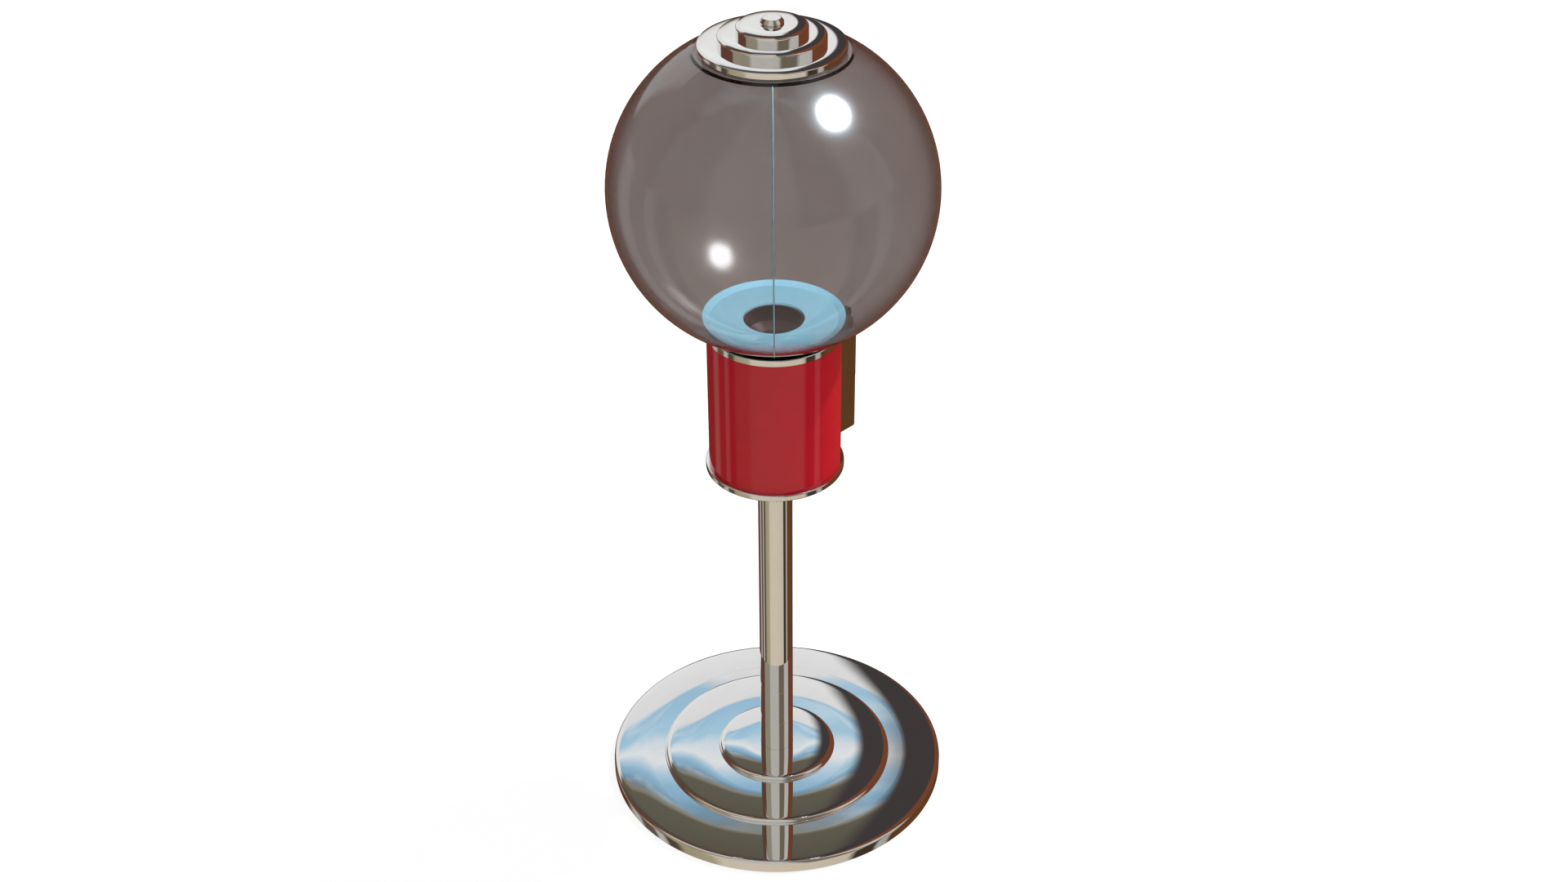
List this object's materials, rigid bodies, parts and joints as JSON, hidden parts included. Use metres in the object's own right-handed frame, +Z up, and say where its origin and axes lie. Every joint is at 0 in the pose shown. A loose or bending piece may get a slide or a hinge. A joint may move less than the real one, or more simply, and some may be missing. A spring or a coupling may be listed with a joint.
{
  "type": "gumball machine",
  "caption": "Pedestal gumball machine: a clear globe with a lift-off lid on a red drum body with a turn-handle dispenser and outlet flap, on a chrome pole and stepped round base.",
  "frame": {"origin": "on the floor under the pole's axis", "axes": "+Z up along the pole; -Y towards the front with the handle and the outlet; +X to the machine's left, the right of someone who faces its front"},
  "size_m": [0.32, 0.32, 0.781],
  "materials": {
    "chrome": "polished chrome plate",
    "red_paint": "gloss enamel",
    "blue_enamel": "pale blue gloss enamel",
    "clear_globe": "clear, lightly smoked",
    "black_rubber": "matt",
    "zinc_steel": "zinc plate",
    "brass": "turned",
    "maroon_plastic": "moulded, satin",
    "ivory_plastic": "moulded, satin"
  },
  "bodies": {
    "frame": {"base_casting": "chrome", "base_pads": "black_rubber", "pole_tube": "chrome", "tie_rod": "zinc_steel", "tie_rod_nuts": "zinc_steel", "tie_rod_washers": "zinc_steel", "bottom_flange": "chrome", "body_shell": "red_paint", "top_collar": "chrome", "stay_bolts": "zinc_steel", "stay_nuts": "zinc_steel", "globe_gasket": "black_rubber", "globe_front": "clear_globe", "globe_back": "clear_globe", "plate_seal": "black_rubber", "hopper_plate": "blue_enamel", "throat_nut": "brass", "drum_cover": "maroon_plastic", "feed_funnel": "maroon_plastic", "drum_cradle": "maroon_plastic", "drum_bushes": "brass", "mech_housing": "chrome", "housing_screws": "zinc_steel", "coin_plate": "chrome", "plate_screws": "zinc_steel", "plate_bush": "brass", "chute": "ivory_plastic", "flap_pin": "zinc_steel"},
    "dispenser": {"turn_handle": "chrome", "handle_screw": "zinc_steel", "drive_shaft": "zinc_steel", "coin_wheel": "brass", "dispensing_drum": "maroon_plastic", "drum_pin": "zinc_steel", "shaft_clip": "zinc_steel"},
    "flap": {"chute_flap": "chrome"},
    "lid": {"lid": "chrome", "lid_rim": "chrome", "lid_spigot": "chrome", "lid_gasket": "black_rubber", "lid_knob": "chrome", "knob_screw": "zinc_steel"}
  },
  "joints": [
    {"name": "handle_turn", "type": "hinge", "parent": "frame", "child": "dispenser", "pos_m": [0, 0, 0.448], "axis": [0, 1, 0], "continuous": true},
    {"name": "flap_swing", "type": "hinge", "parent": "frame", "child": "flap", "pos_m": [0, -0.077, 0.4172], "axis": [-1, 0, 0], "range_deg": [0, 80]},
    {"name": "lid_lift", "type": "slide", "parent": "frame", "child": "lid", "axis": [0, 0, 1], "range_m": [0, 0.15]}
  ]
}
